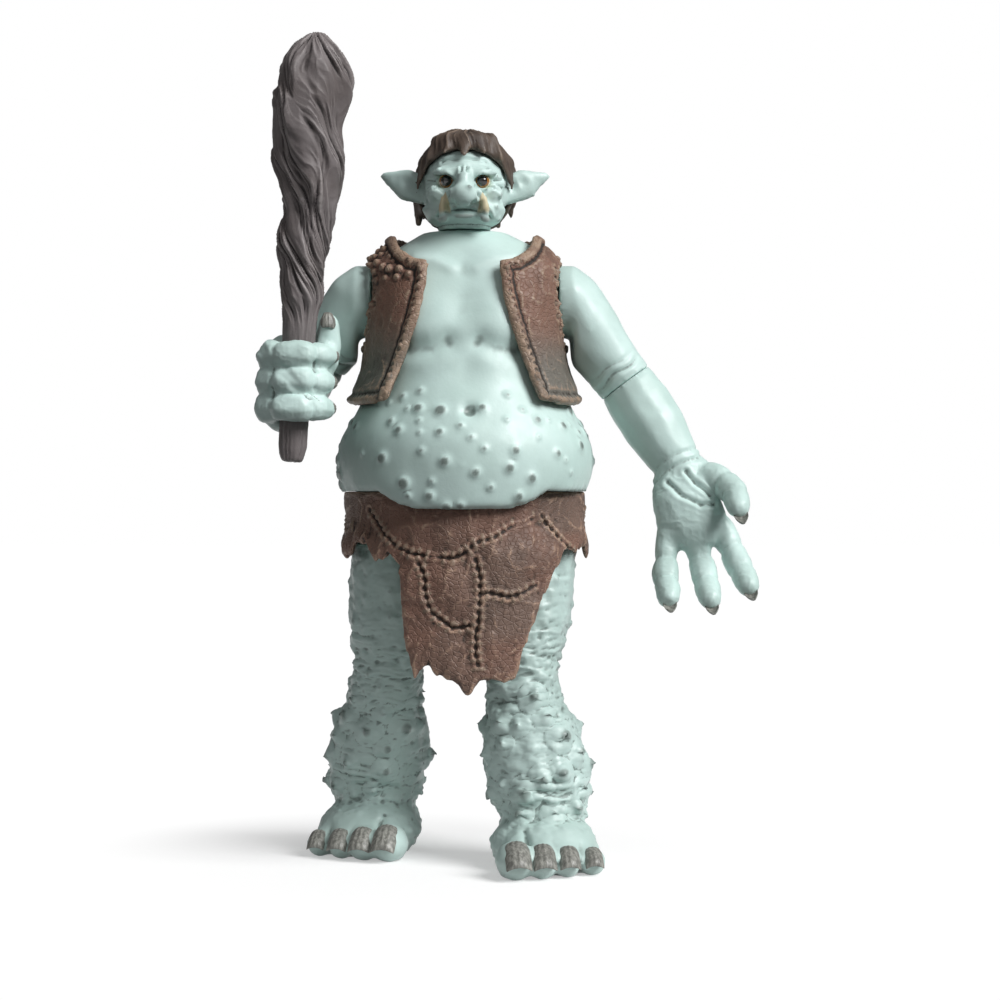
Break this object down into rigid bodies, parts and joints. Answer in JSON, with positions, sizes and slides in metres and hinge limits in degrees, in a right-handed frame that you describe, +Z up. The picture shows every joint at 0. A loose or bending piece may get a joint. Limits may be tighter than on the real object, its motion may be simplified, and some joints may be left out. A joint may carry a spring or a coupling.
{
  "type": "troll figurine",
  "caption": "Standing play figurine of a pot-bellied folk troll in a hide vest and ragged kilt, with turning head, waist, shoulders and elbows and a club that slides out of its fist.",
  "frame": {"origin": "on the floor under the middle of the figure's bounding box", "axes": "+Z up, the troll faces -Y, and its left side is +X"},
  "size_m": [0.0968, 0.0566, 0.1611],
  "materials": {
    "skin": "satin pale mint paint with darker grey in the folds",
    "hide": "moulded and painted to look like old brown hide",
    "wood_paint": "moulded and painted to look like weathered grey-brown wood",
    "hair": "moulded and painted dark brown-grey",
    "peg_plastic": "plain unpainted plastic"
  },
  "bodies": {
    "hips": {"hips": "skin", "left_leg": "skin", "right_leg": "skin", "left_hip_dowel": "peg_plastic", "right_hip_dowel": "peg_plastic", "kilt": "hide", "waist_peg": "peg_plastic"},
    "torso": {"torso_front": "skin", "torso_back": "skin", "vest": "hide"},
    "head": {"head": "skin", "hair": "hair", "neck_peg": "peg_plastic"},
    "left_upper_arm": {"left_upper_arm": "skin", "left_shoulder_peg": "peg_plastic", "left_elbow_peg": "peg_plastic"},
    "left_forearm": {"left_forearm": "skin"},
    "right_upper_arm": {"right_upper_arm": "skin", "right_shoulder_peg": "peg_plastic", "right_elbow_peg": "peg_plastic"},
    "right_forearm": {"right_forearm": "skin"},
    "club": {"club": "wood_paint"}
  },
  "joints": [
    {"name": "waist_swivel", "type": "hinge", "parent": "hips", "child": "torso", "pos_m": [-0.0088, 0.00339, 0.0737], "axis": [0, 0, 1], "range_deg": [-15, 15]},
    {"name": "neck_swivel", "type": "hinge", "parent": "torso", "child": "head", "pos_m": [-0.0088, 0.00339, 0.12535], "axis": [0, 0, 1], "range_deg": [-60, 60]},
    {"name": "left_shoulder", "type": "hinge", "parent": "torso", "child": "left_upper_arm", "pos_m": [0.01125, 0.00339, 0.1115], "axis": [1, 0, 0], "continuous": true},
    {"name": "right_shoulder", "type": "hinge", "parent": "torso", "child": "right_upper_arm", "pos_m": [-0.02885, 0.00339, 0.1115], "axis": [1, 0, 0], "range_deg": [-180, 20]},
    {"name": "left_elbow", "type": "hinge", "parent": "left_upper_arm", "child": "left_forearm", "pos_m": [0.02348, 0.00278, 0.09519], "axis": [0.5997, -0.03, -0.7996], "continuous": true},
    {"name": "right_elbow", "type": "hinge", "parent": "right_upper_arm", "child": "right_forearm", "pos_m": [-0.03793, 0.00627, 0.1007], "axis": [-0.6302, 0.2001, -0.7502], "range_deg": [-10, 130]},
    {"name": "club_slide", "type": "slide", "parent": "right_forearm", "child": "club", "axis": [0.0579, -0.01, 0.9983], "range_m": [0, 0.0225]}
  ]
}
